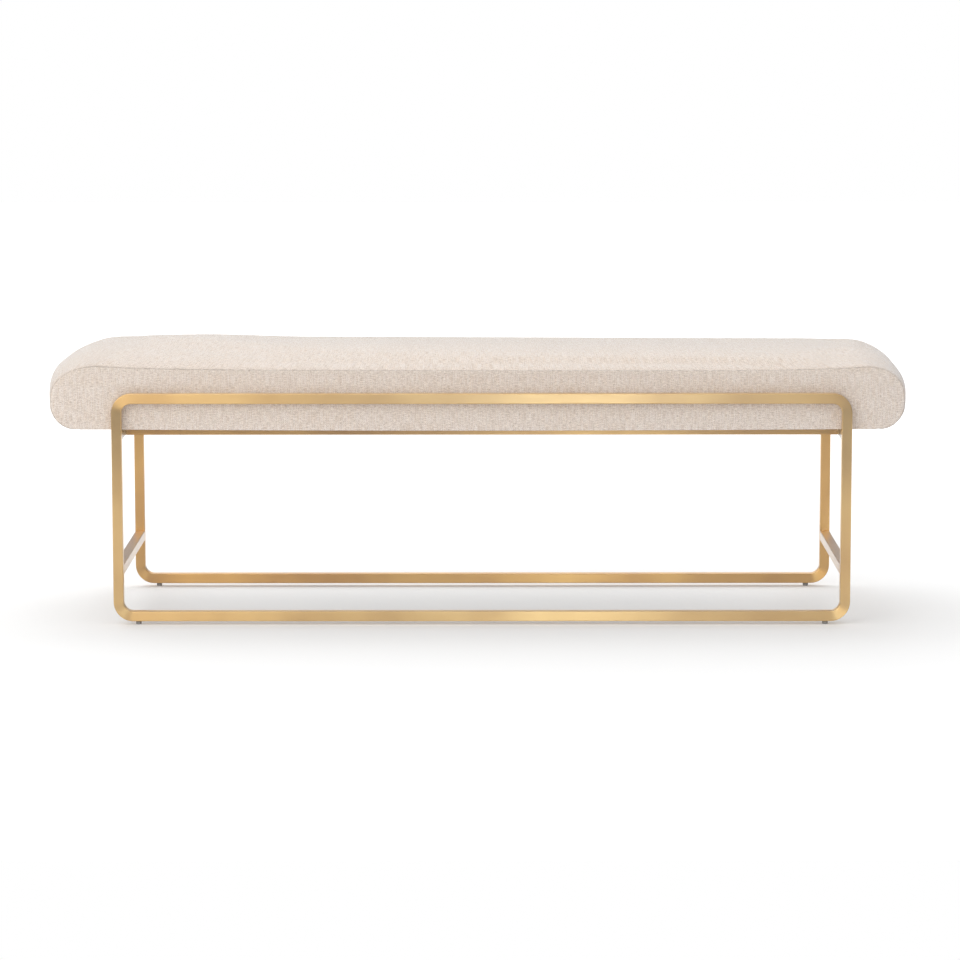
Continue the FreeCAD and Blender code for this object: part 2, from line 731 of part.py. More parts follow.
doc.recompute()
for thing in doc.Objects:
    if "Invalid" in thing.State or "Error" in thing.State:
        raise RuntimeError(f"{thing.Label} did not recompute: {thing.State}")
for subpart in subparts:
    if subpart.Shape.isNull() or not subpart.Shape.isValid():
        raise RuntimeError(f"{subpart.Label} has no valid shape")
os.makedirs("parts", exist_ok=True)
for subpart in subparts:
    subpart.Shape.exportStep(f"parts/{subpart.Label}.step")
    print(f"{subpart.Label}: {len(subpart.Shape.Solids)} solids, {subpart.Shape.Volume:.0f} cubic mm")
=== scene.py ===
import math

import bmesh
import bpy
import numpy as np
from mathutils import Matrix, Vector


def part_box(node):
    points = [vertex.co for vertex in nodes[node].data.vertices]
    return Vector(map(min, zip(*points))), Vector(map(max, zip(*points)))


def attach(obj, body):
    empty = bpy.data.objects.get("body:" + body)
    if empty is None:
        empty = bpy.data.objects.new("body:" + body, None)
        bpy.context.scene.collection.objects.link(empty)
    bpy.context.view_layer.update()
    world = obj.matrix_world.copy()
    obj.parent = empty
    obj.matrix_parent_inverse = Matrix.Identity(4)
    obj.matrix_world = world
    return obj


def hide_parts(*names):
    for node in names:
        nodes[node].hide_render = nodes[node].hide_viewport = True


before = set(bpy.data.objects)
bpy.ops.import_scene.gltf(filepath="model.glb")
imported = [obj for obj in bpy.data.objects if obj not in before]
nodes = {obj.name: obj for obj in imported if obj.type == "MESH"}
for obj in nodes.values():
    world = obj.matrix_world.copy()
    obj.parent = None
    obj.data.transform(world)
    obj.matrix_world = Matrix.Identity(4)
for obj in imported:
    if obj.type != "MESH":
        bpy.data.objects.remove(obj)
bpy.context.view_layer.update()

mm = 0.001  # sizes below are in millimetres times this


# Shared helpers

def toLinear(hexColour):
    # sRGB hex to linear RGBA
    srgb = np.array([int(hexColour[i:i + 2], 16) / 255 for i in (1, 3, 5)])
    linear = np.where(srgb <= 0.04045, srgb / 12.92, ((srgb + 0.055) / 1.055) ** 2.4)
    return (*linear.tolist(), 1.0)


def smoothStep(low, high, value):
    # 0 under low, 1 over high, a smooth S between
    t = np.clip((value - low) / (high - low), 0.0, 1.0)
    return t * t * (3.0 - 2.0 * t)


def gridFaces(rows, columns, wrap=False):
    # quads of a rows x columns grid of points, counted row by row; wrap joins the last column to the first
    r = np.arange(rows - 1)[:, None]
    c = np.arange(columns if wrap else columns - 1)[None, :]
    after = (c + 1) % columns
    quads = np.stack([r * columns + c, r * columns + after, (r + 1) * columns + after, (r + 1) * columns + c], axis=-1)
    return quads.reshape(-1, 4)


def buildMesh(name, points, faces, weave=None):
    # points (n, 3) in metres, faces (m, 4); weave is a UV in metres for each point
    mesh = bpy.data.meshes.new(name)
    mesh.from_pydata(points.tolist(), [], faces.tolist())
    if weave is not None:
        corner = np.empty(len(mesh.loops), dtype=np.int32)
        mesh.loops.foreach_get("vertex_index", corner)
        mesh.uv_layers.new(name="weave").data.foreach_set("uv", weave[corner].astype(np.float32).ravel())
    mesh.polygons.foreach_set("use_smooth", np.ones(len(mesh.polygons), dtype=bool))
    return mesh


def placePiece(name, mesh):
    piece = bpy.data.objects.new(name, mesh)
    bpy.context.scene.collection.objects.link(piece)
    return piece


def readPoints(mesh):
    flat = np.empty(len(mesh.vertices) * 3, dtype=np.float32)
    mesh.vertices.foreach_get("co", flat)
    return flat.reshape(-1, 3).astype(float)


def writePoints(mesh, points):
    mesh.vertices.foreach_set("co", points.astype(np.float32).ravel())
    mesh.update()


def vertexNormals(mesh):
    flat = np.empty(len(mesh.vertices) * 3, dtype=np.float32)
    mesh.vertex_normals.foreach_get("vector", flat)
    return flat.reshape(-1, 3).astype(float)


def evaluatedMesh(piece):
    depsgraph = bpy.context.evaluated_depsgraph_get()
    return bpy.data.meshes.new_from_object(piece.evaluated_get(depsgraph))


def feed(tree, node, inputs):
    # sets the node's inputs: a plain value, or a link from the socket that feeds it
    for key, value in inputs.items():
        if isinstance(value, bpy.types.NodeSocket):
            tree.links.new(value, node.inputs[key])
        else:
            node.inputs[key].default_value = value


def addNode(tree, kind, settings=None, inputs=None):
    # a shader node with its settings and what feeds it
    node = tree.nodes.new("ShaderNode" + kind)
    for key, value in (settings or {}).items():
        setattr(node, key, value)
    feed(tree, node, inputs or {})
    return node


def newMaterial(name):
    # an empty node tree with a Principled shader on the output
    material = bpy.data.materials.new(name)
    material.use_nodes = True
    tree = material.node_tree
    tree.nodes.clear()
    shader = addNode(tree, "BsdfPrincipled")
    addNode(tree, "OutputMaterial", inputs={"Surface": shader.outputs["BSDF"]})
    return material, tree, shader


print("frame loaded:", len(nodes), "nodes")


# Seat cushion: foam in a woven cover, sewn from a band over top and ends and a panel front and back

panelLow, panelHigh = (np.array(corner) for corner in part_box("front_panel"))
bandLow, bandHigh = (np.array(corner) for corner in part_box("top_band"))
dustLow, dustHigh = (np.array(corner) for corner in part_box("dust_cover"))
loopLow, loopHigh = (np.array(corner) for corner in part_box("front_loop"))
cushion = {
    "base": bandLow[2],
    "halfLength": panelHigh[0],
    "halfDepth": -panelLow[1],
    "seamRise": panelHigh[2] - bandLow[2],
    "crown": bandHigh[2] - panelHigh[2],
    "endSwell": bandHigh[0] - panelHigh[0],
    "lowerCorner": 46 * mm,
    "shoulderReach": 73 * mm,   # the upper corners are quarter ellipses, longer and higher across the middle
    "shoulderDrop": 54 * mm,
    "crownReach": 58 * mm,
    "crownDrop": 9.5 * mm,
    "swellPower": 3.0,      # the crown rises as (1 - |s|^power)^root from seam to seam
    "swellRoot": 0.9,
    "seamSag": 7 * mm,      # the long seams dip between the ends
    "fullerLeft": 4 * mm,   # the seat stands this much higher at the left end than in the middle
    "leftRise": 6.5 * mm,   # and this much more behind the left shoulder
    "longerLeft": 12 * mm,  # the left shoulder reaches this much further in, the right one less
    "offset": -7.5 * mm,    # the seat photographed sits this far to the left
    "seamDepth": 3.0 * mm,  # the sewn valley
    "seamWidth": 3.0 * mm,
    "puckerHeight": 0.6 * mm,
    "puckerReach": 16 * mm,
    "simVoxel": 8 * mm,
    "simInset": 3 * mm,     # the cover starts this much too small and swells
    "simPressure": 4.0,
    "simFrames": 20,
    "simCap": 8 * mm,
    "simRise": 7.2 * mm,    # how much of the crown the swelling adds
    "swellReach": 9 * mm,   # the swelling grows with the distance from a seam
    "panelShare": 0.55,     # the panels swell this much of what the cloth would
    "lowerSag": 2.4 * mm,   # the free lower edges hang below the tubes' tops between the legs
    "underGap": 0.3 * mm,   # cover to the tubes that carry it
    "hemThickness": 1.2 * mm,
    "railGap": 0.4 * mm,    # cover to the loops where they press on it
    "railReach": 16 * mm,   # the press fades out this far from a tube
    "topSteps": 178,        # points along the top and the underside
    "beside": np.array([0, 1.6, 3.4, 5.6, 8.5, 12.5, 18, 25]) * mm,   # rows of points beside a seam
    "within": np.array([33, 40, 46]) * mm,                            # and further into a panel
    "cloth": {"quality": 4, "mass": 0.25, "tension_stiffness": 12, "compression_stiffness": 12,
              "bending_stiffness": 0.6, "use_pressure": True},
}


def swell(station):
    return (1.0 - np.abs(station) ** cushion["swellPower"]) ** cushion["swellRoot"]


def seatOutline(halfLength, low, high, lower, left, right, drop, arcSteps=14, sideSteps=3):
    # Closed outline in X and Z, from the left end of the underside, up the left end, over the top, down the right
    # end and back underneath: straight lines, quarter circles below and quarter ellipses above, which reach in by
    # left and right. Each argument is a column, one row an outline.
    halfLength, low, high, lower, left, right, drop = np.broadcast_arrays(
        *(np.atleast_1d(np.asarray(a, float))[:, None] for a in (halfLength, low, high, lower, left, right, drop)))
    arc = np.arange(arcSteps) / arcSteps
    side = np.arange(sideSteps) / sideSteps
    topSteps = cushion["topSteps"]
    top = np.arange(topSteps) / topSteps
    turn = math.pi / 2
    x = [
        -(halfLength - lower) + lower * np.cos(-turn - turn * arc),
        -halfLength + 0 * side,
        -(halfLength - left) + left * np.cos(2 * turn - turn * arc),
        -(halfLength - left) + (2 * halfLength - left - right) * top,
        (halfLength - right) + right * np.cos(turn - turn * arc),
        halfLength + 0 * side,
        (halfLength - lower) + lower * np.cos(-turn * arc),
        (halfLength - lower) - 2 * (halfLength - lower) * top,
    ]
    z = [
        low + lower + lower * np.sin(-turn - turn * arc),
        low + lower + (high - drop - low - lower) * side,
        high - drop + drop * np.sin(2 * turn - turn * arc),
        high + 0 * top,
        high - drop + drop * np.sin(turn - turn * arc),
        high - drop - (high - drop - low - lower) * side,
        low + lower + lower * np.sin(-turn * arc),
        low + 0 * top,
    ]
    bandCount = 4 * arcSteps + 2 * sideSteps + topSteps + 1
    return np.concatenate(x, axis=1), np.concatenate(z, axis=1), bandCount


def dipSeams(x, z, lift):
    # the upper half sinks with the seam's sag, less as lift goes from 0 at the seam to 1 at the crown, and leans
    c = cushion
    reach = c["halfLength"] - c["shoulderReach"]
    sag = c["seamSag"] * np.clip(1.0 - (x / reach) ** 6, 0.0, 1.0)
    share = smoothStep(0.35, 1.0, (z - c["base"]) / c["seamRise"])
    tilt = c["fullerLeft"] * (0.3 + 0.7 * lift) * x / c["halfLength"]
    left = -x / c["halfLength"]
    tilt -= c["leftRise"] * lift * smoothStep(0.40, 0.68, left) * (1.0 - smoothStep(0.88, 0.97, left))
    # the crown starts lower where the swelling will lift it
    room = c["simRise"] * lift * (1.0 - smoothStep(0.84, 0.97, np.abs(left)))
    return z - (sag * (1.0 - lift) + tilt + room) * share


def cushionMesh(name, inset):
    # The closed cover: a band lofted through outlines from the front seam to the back one, two panels of
    # outlines drawn in ring by ring, and a flat underside, merged at the seams.
    c = cushion
    low, high = c["base"] + c["underGap"], c["base"] + c["seamRise"] - inset
    halfLength, halfDepth = c["halfLength"] - inset, c["halfDepth"] - inset
    lower, reach, drop = (c[key] - inset for key in ("lowerCorner", "shoulderReach", "shoulderDrop"))
    # stations across the depth, close together beside the seams
    fine = c["beside"] / halfDepth
    coarse = np.linspace(-1 + c["within"][0] / halfDepth, 1 - c["within"][0] / halfDepth, 40)
    station = np.concatenate([-1 + fine, coarse, (1 - fine)[::-1]])
    lift = swell(station)
    crown = c["crown"] + inset
    inward = reach + c["crownReach"] * lift
    x, z, bandCount = seatOutline(halfLength + c["endSwell"] * lift, low, high + crown * lift, lower,
                                  inward + c["longerLeft"], inward - c["longerLeft"], drop + c["crownDrop"] * lift)
    x, z = x[:, :bandCount], dipSeams(x, z, lift[:, None])[:, :bandCount]
    y = np.repeat((halfDepth * station)[:, None], bandCount, axis=1)
    run = np.hypot(np.diff(x[len(station) // 2]), np.diff(z[len(station) // 2]))
    along = np.concatenate([[0.0], np.cumsum(run)])
    points = [np.stack([x, y, z], axis=-1).reshape(-1, 3)]
    weave = [np.stack([np.broadcast_to(along, x.shape), y], axis=-1).reshape(-1, 2)]
    seamGap = [np.repeat(halfDepth * (1 - np.abs(station)), bandCount)]
    faces = [gridFaces(len(station), bandCount)]
    # panels: rings drawn in from the seam to a slit along the middle
    rings = np.concatenate([c["beside"], c["within"]])
    least = 3 * mm
    x, z, _ = seatOutline(halfLength - rings, low + rings, high - rings,
                          np.maximum(lower - rings, least), np.maximum(reach + c["longerLeft"] - rings, least),
                          np.maximum(reach - c["longerLeft"] - rings, least), np.maximum(drop - rings, least))
    z = dipSeams(x, z, 0.0)
    count = x.shape[1]
    ringFaces = gridFaces(len(rings), count, wrap=True)
    # the slit: the top line of the last ring is joined to its underside, point by point
    topStart = bandCount // 2 - c["topSteps"] // 2
    topRow = np.arange(topStart, topStart + c["topSteps"] + 1)
    lowRow = np.arange(count - c["topSteps"], count + 1) % count
    lastRing = (len(rings) - 1) * count
    facing = lowRow[::-1]
    slit = np.stack([topRow[:-1], topRow[1:], facing[1:], facing[:-1]], axis=-1) + lastRing
    # the lower edge is folded, not sewn, so it counts as far from a seam
    sewn = np.where(np.arange(count) < bandCount, rings[:, None], c["halfDepth"])
    for way in (-1, 1):
        panel = np.stack([x, np.full_like(x, way * halfDepth), z], axis=-1).reshape(-1, 3)
        points.append(panel)
        weave.append(np.stack([panel[:, 0] + 3.0, panel[:, 2] + way], axis=-1))
        seamGap.append(sewn.ravel())
        both = np.concatenate([ringFaces, slit])
        faces.append(both if way > 0 else both[:, ::-1])
    # underside: a flat sheet between the lower edges of the two panels, thinner where the hems end
    xUnder = x[0, lowRow]
    xGrid, yGrid = np.meshgrid(xUnder, halfDepth * station, indexing="xy")
    bare = (np.abs(xGrid) < dustHigh[0]) & (np.abs(yGrid) < dustHigh[1])
    zGrid = low + c["hemThickness"] * bare
    points.append(np.stack([xGrid, yGrid, zGrid], axis=-1).reshape(-1, 3))
    weave.append(np.stack([xGrid + 6.0, yGrid], axis=-1).reshape(-1, 2))
    seamGap.append(np.full(xGrid.size, c["halfDepth"]))
    faces.append(gridFaces(len(station), len(xUnder)))
    offsets = np.cumsum([0] + [len(p) for p in points[:-1]])
    mesh = buildMesh(name, np.concatenate(points),
                     np.concatenate([f + o for f, o in zip(faces, offsets)]), np.concatenate(weave))
    gap = mesh.attributes.new("seamGap", "FLOAT", "POINT")
    gap.data.foreach_set("value", np.concatenate(seamGap).astype(np.float32))
    # merge the seams, close the two small end slits and turn every face outwards
    work = bmesh.new()
    work.from_mesh(mesh)
    bmesh.ops.remove_doubles(work, verts=work.verts, dist=0.05 * mm)
    rim = [edge for edge in work.edges if edge.is_boundary]
    bmesh.ops.holes_fill(work, edges=rim, sides=0)
    bmesh.ops.recalc_face_normals(work, faces=work.faces)
    for face in work.faces:
        face.smooth = True
    work.to_mesh(mesh)
    work.free()
    return mesh


def seamDistance(points):
    # distance from the sewn edges: how far a point lies from the outline of the panels and from their plane
    c = cushion
    z = points[:, 2] - c["base"]
    x = np.abs(points[:, 0])
    middle = c["seamRise"] / 2
    corner = np.where(z > middle, c["shoulderDrop"], c["lowerCorner"])
    qx = x - (c["halfLength"] - corner)
    qz = np.abs(z - middle) - (middle - corner)
    outline = np.hypot(np.maximum(qx, 0), np.maximum(qz, 0)) + np.minimum(np.maximum(qx, qz), 0) - corner
    plane = c["halfDepth"] - np.abs(points[:, 1])
    return np.hypot(outline, plane)


def inflate(mesh):
    # Cloth under pressure on a remeshed copy: held at the seams and the underside, swelling between them
    c = cushion
    rough = placePiece("cushionRemesh", mesh.copy())
    remesh = rough.modifiers.new("voxels", "REMESH")
    remesh.mode = "VOXEL"
    remesh.voxel_size = c["simVoxel"]
    cloth = placePiece("cushionCloth", evaluatedMesh(rough))
    start = readPoints(cloth.data)
    held = np.maximum(1.0 - smoothStep(6 * mm, 14 * mm, seamDistance(start)),
                      1.0 - smoothStep(4 * mm, 12 * mm, start[:, 2] - c["base"]))
    group = cloth.vertex_groups.new(name="held")
    for share in np.unique(np.round(held, 1)):
        if share > 0:
            group.add(np.flatnonzero(np.round(held, 1) == share).tolist(), float(share), "REPLACE")
    sim = cloth.modifiers.new("swelling", "CLOTH")
    sim.settings.vertex_group_mass = "held"
    for key, value in c["cloth"].items():
        setattr(sim.settings, key, value)
    sim.settings.uniform_pressure_force = c["simPressure"]
    sim.settings.effector_weights.gravity = 0
    sim.collision_settings.use_collision = False
    sim.point_cache.frame_start = 1
    sim.point_cache.frame_end = c["simFrames"]
    for step in range(1, c["simFrames"] + 1):
        bpy.context.scene.frame_set(step)
    swollen = readPoints(evaluatedMesh(cloth))
    bpy.context.scene.frame_set(1)
    move = swollen - start
    length = np.linalg.norm(move, axis=1, keepdims=True)
    writePoints(cloth.data, start + move * np.minimum(1.0, c["simCap"] / np.maximum(length, 1e-9)))
    cloth.modifiers.clear()
    bpy.data.objects.remove(rough)
    print("cushion swollen: %d points, mean %.1f mm" % (len(start), length.mean() / mm))
    return cloth


def shapeSeams(mesh):
    # the seam sinks by depth x exp(-gap / width) along the normal, and small waves pucker the cloth beside it
    c = cushion
    points = readPoints(mesh)
    gap = np.empty(len(points), dtype=np.float32)
    mesh.attributes["seamGap"].data.foreach_get("value", gap)
    normal = vertexNormals(mesh)
    chance = np.random.default_rng(12)
    along = points[:, 0] + 0.7 * points[:, 2]
    wave = np.zeros(len(points))
    for length in np.array([19, 27, 38, 61]) * mm:
        wave += np.sin(2 * np.pi * along / length + chance.uniform(0, 2 * np.pi)) * chance.uniform(0.3, 0.6)
    pucker = c["puckerHeight"] * wave * np.exp(-gap / c["puckerReach"]) * (1 - np.exp(-gap / c["seamWidth"]))
    valley = c["seamDepth"] * np.exp(-gap / c["seamWidth"])
    sewn = smoothStep(0.0, c["lowerCorner"], points[:, 2] - c["base"])
    points += normal * (sewn * (pucker - valley))[:, None]
    # the free lower edges hang a little, most in the middle
    edge = np.exp(-(c["halfDepth"] - np.abs(points[:, 1])) / (18 * mm))
    middle = np.clip(1.0 - (points[:, 0] / loopHigh[0]) ** 2, 0.0, 1.0)
    below = 1.0 - smoothStep(0.0, 40 * mm, points[:, 2] - c["base"])
    points[:, 2] -= c["lowerSag"] * edge * (middle * below)
    writePoints(mesh, points)


def pressAgainstLoops(mesh):
    # the cover stays behind the loops' inner faces, fully beside a tube and less with the distance from it
    c = cushion
    low, high = loopLow, loopHigh
    side = high[1] - low[1]
    inner = -high[1] - c["railGap"]
    points = readPoints(mesh)
    middle = (low[2] + high[2]) / 2
    out = np.maximum(np.abs(points[:, 0]) - high[0], np.abs(points[:, 2] - middle) - (high[2] - middle))
    away = np.maximum(np.abs(out + side / 2) - side / 2, 0.0)
    press = 1.0 - smoothStep(0.0, c["railReach"], away)
    excess = np.maximum(np.abs(points[:, 1]) - inner, 0.0)
    points[:, 1] -= np.sign(points[:, 1]) * excess * press
    writePoints(mesh, points)


def sewCushion():
    # the swelling found on a slightly small copy is added to the true shape, none at a seam and all away from it
    c = cushion
    piece = placePiece("seat_cushion", cushionMesh("seat_cushion", 0.0))
    small = placePiece("cushionSmall", cushionMesh("cushionSmall", c["simInset"]))
    cloth = inflate(small.data)
    wrap = small.modifiers.new("fit", "SHRINKWRAP")
    wrap.target = cloth
    wrap.wrap_method = "NEAREST_SURFACEPOINT"
    move = readPoints(evaluatedMesh(small)) - readPoints(small.data)
    for helper in (small, cloth):
        bpy.data.objects.remove(helper)
    gap = np.empty(len(move), dtype=np.float32)
    piece.data.attributes["seamGap"].data.foreach_get("value", gap)
    move *= (1.0 - np.exp(-gap / c["swellReach"]))[:, None]
    move[:, 1] *= c["panelShare"]
    # along the length and upwards the cover only swells
    normal = vertexNormals(piece.data)[:, ::2]
    move[:, ::2] = normal * np.maximum((move[:, ::2] * normal).sum(axis=1, keepdims=True), 0.0)
    points = readPoints(piece.data)
    lifted = smoothStep(0.0, 30 * mm, points[:, 2] - c["base"])[:, None]
    writePoints(piece.data, points + move * lifted)
    shapeSeams(piece.data)
    points = readPoints(piece.data)
    points[:, 0] += c["offset"]
    writePoints(piece.data, points)
    pressAgainstLoops(piece.data)
    return piece


seatCushion = sewCushion()
seatCushion.modifiers.new("smooth weave", "SUBSURF").levels = 1
seatCushion.modifiers["smooth weave"].render_levels = 1
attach(seatCushion, "bench")
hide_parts("foam_core", "top_band", "front_panel", "rear_panel")
print("cushion sewn:", len(seatCushion.data.vertices), "points")


# Dust cover: a thin black cloth stretched under the board, sagging a little between the tubes

dustCover = {"sag": 1.6 * mm, "rise": 0.5 * mm, "wrinkle": 0.25 * mm, "columns": 200, "rows": 60}


def stretchDustCover():
    # z falls from the hem lines towards the middle of each bay as sin x sin, and rises over the seat rails
    d = dustCover
    x, y = np.meshgrid(np.linspace(dustLow[0], dustHigh[0], d["columns"]),
                       np.linspace(dustLow[1], dustHigh[1], d["rows"]), indexing="xy")
    acrossX = (x - dustLow[0]) / (dustHigh[0] - dustLow[0])
    railLow = np.array(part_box("rear_seat_rail")[0])
    free = smoothStep(0.0, 40 * mm, railLow[1] - np.abs(y)) * np.sin(np.pi * acrossX) ** 0.5
    ripple = np.sin(x / (46 * mm) + 3 * y / (90 * mm)) * np.sin(y / (31 * mm) + 0.8)
    z = dustLow[2] + d["rise"] - (d["sag"] + d["wrinkle"] * ripple) * free
    points = np.stack([x, y, z], axis=-1).reshape(-1, 3)
    mesh = buildMesh("dust_cloth", points, gridFaces(d["rows"], d["columns"])[:, ::-1], points[:, :2])
    return placePiece("dust_cloth", mesh)


dustCloth = stretchDustCover()
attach(dustCloth, "bench")
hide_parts("dust_cover")
print("dust cover stretched")


# Materials

linen = {
    # seam is the colour of the painted shade in the seams' crease
    "oat": "#f1e3d5", "dark": "#ab988a", "pale": "#f6efe9", "fleck": "#8f7d6f", "seam": "#8f7f72",
    "seamLine": 2.4 * mm, "seamDash": 7 * mm,   # the seam's painted shade comes and goes over about a stitch or two
    "thread": 1.7 * mm,       # real threads are about half as wide; drawn coarser so that they show
    "weftSlub": 8 * mm, "warpSlub": 22 * mm, "slubWidth": 1.6 * mm, "grain": 1.3 * mm,
    "fleckLength": 6 * mm, "fleckWidth": 1.8 * mm, "cloudSize": 120 * mm,
    # how strongly each layer tints the one below
    "cloudTint": 0.25, "weftTint": 0.42, "warpTint": 0.58, "grainTint": 0.52, "crownTint": 0.12,
    "fleckTint": 0.45, "seamTint": 0.9,
    "roughness": 0.92, "gloss": 0.2, "sheen": 1.0, "sheenRoughness": 0.22, "bloom": "#fbfdff", "relief": 0.5 * mm,
}


def wovenLinen():
    # Plain-woven linen blend with uneven yarns: slubs along both thread ways, dark flecks, a dry matt face with
    # a pale bloom at grazing angles
    d = linen
    material, tree, shader = newMaterial("woven linen")
    uv = addNode(tree, "UVMap", {"uv_map": "weave"}).outputs["UV"]

    def stretched(alongU, alongV, detail, low, high):
        scaled = addNode(tree, "VectorMath", {"operation": "MULTIPLY"},
                         {0: uv, 1: (1 / alongU, 1 / alongV, 0.0)})
        noise = addNode(tree, "TexNoise", {"noise_dimensions": "2D"},
                        {"Vector": scaled.outputs[0], "Scale": 1.0, "Detail": detail, "Roughness": 0.6})
        ranged = addNode(tree, "MapRange", inputs={"Value": noise.outputs["Fac"], "From Min": low, "From Max": high})
        return ranged.outputs[0]

    weft = stretched(d["weftSlub"], d["slubWidth"], 0.0, 0.34, 0.66)
    warp = stretched(d["slubWidth"], d["warpSlub"], 0.0, 0.34, 0.66)
    grain = stretched(d["grain"], d["grain"], 1.0, 0.34, 0.66)
    fleck = stretched(d["fleckLength"], d["fleckWidth"], 1.0, 0.64, 0.78)
    cloud = stretched(d["cloudSize"], d["cloudSize"], 2.0, 0.3, 0.7)
    # threads: a chequer of rounded crowns, sin x sin over the two thread ways
    split = addNode(tree, "SeparateXYZ", inputs={0: uv})
    waves = []
    for way in ("X", "Y"):
        phase = addNode(tree, "Math", {"operation": "MULTIPLY"},
                        {0: split.outputs[way], 1: math.pi / d["thread"]})
        waves.append(addNode(tree, "Math", {"operation": "SINE"}, {0: phase.outputs[0]}).outputs[0])
    crowns = addNode(tree, "Math", {"operation": "MULTIPLY"}, {0: waves[0], 1: waves[1]}).outputs[0]

    def tint(factor, strength, below, colour):
        share = addNode(tree, "Math", {"operation": "MULTIPLY"}, {0: factor, 1: strength}).outputs[0]
        return addNode(tree, "Mix", {"data_type": "RGBA"}, {0: share, 6: below, 7: toLinear(colour)}).outputs[2]

    colour = tint(cloud, d["cloudTint"], toLinear(d["oat"]), d["pale"])
    colour = tint(weft, d["weftTint"], colour, d["dark"])
    colour = tint(warp, d["warpTint"], colour, d["pale"])
    colour = tint(grain, d["grainTint"], colour, d["dark"])
    colour = tint(crowns, d["crownTint"], colour, d["dark"])
    colour = tint(fleck, d["fleckTint"], colour, d["fleck"])
    # painted shade: the cloth goes dark where it turns into the seam's crease, in dashes about a stitch long
    gap = addNode(tree, "Attribute", {"attribute_name": "seamGap"}).outputs["Fac"]
    turned = addNode(tree, "MapRange", inputs={"Value": gap, "From Min": d["seamLine"], "From Max": 0.0}).outputs[0]
    dash = stretched(d["seamDash"], d["seamDash"], 1.0, 0.25, 0.6)
    turned = addNode(tree, "Math", {"operation": "MULTIPLY"}, {0: turned, 1: dash}).outputs[0]
    colour = tint(turned, d["seamTint"], colour, d["seam"])
    slubs = addNode(tree, "Math", {"operation": "ADD"}, {0: weft, 1: warp}).outputs[0]
    height = addNode(tree, "Math", {"operation": "MULTIPLY_ADD"}, {0: crowns, 1: 0.5, 2: slubs}).outputs[0]
    bump = addNode(tree, "Bump", inputs={"Strength": 0.7, "Distance": d["relief"], "Height": height})
    feed(tree, shader, {
        "Base Color": colour, "Normal": bump.outputs["Normal"], "Roughness": d["roughness"],
        "Specular IOR Level": d["gloss"], "Sheen Weight": d["sheen"], "Sheen Roughness": d["sheenRoughness"],
        "Sheen Tint": toLinear(d["bloom"])})
    return material


brass = {
    "front": ("#e1ba77", "#cba264"),
    "behind": ("#d9a95e", "#c2904d"),   # a deeper, darker tone: painted shade for the parts under the seat and at the back
    "shadeDark": ("#6b5434", "#574429"),     # much darker: painted shade on the bearers under the seat's ends
    "lineWidth": 0.7 * mm,    # brush lines are finer; drawn coarser so that they show close up
    "lineLength": 90 * mm, "patch": 130 * mm,
    "smoothest": 0.34, "roughest": 0.42, "relief": 0.02 * mm,
    "stretch": 1.0,           # highlights spread across the brush lines
    "lacquer": 1.0, "lacquerRoughness": 0.30, "lacquerIor": 1.8,
}
loopShape = {
    "side": loopHigh[1] - loopLow[1],
    "bend": 35 * mm,
    "middleZ": (loopLow[2] + loopHigh[2]) / 2,
    "halfLength": loopHigh[0],
    "halfHeight": (loopHigh[2] - loopLow[2]) / 2,
}


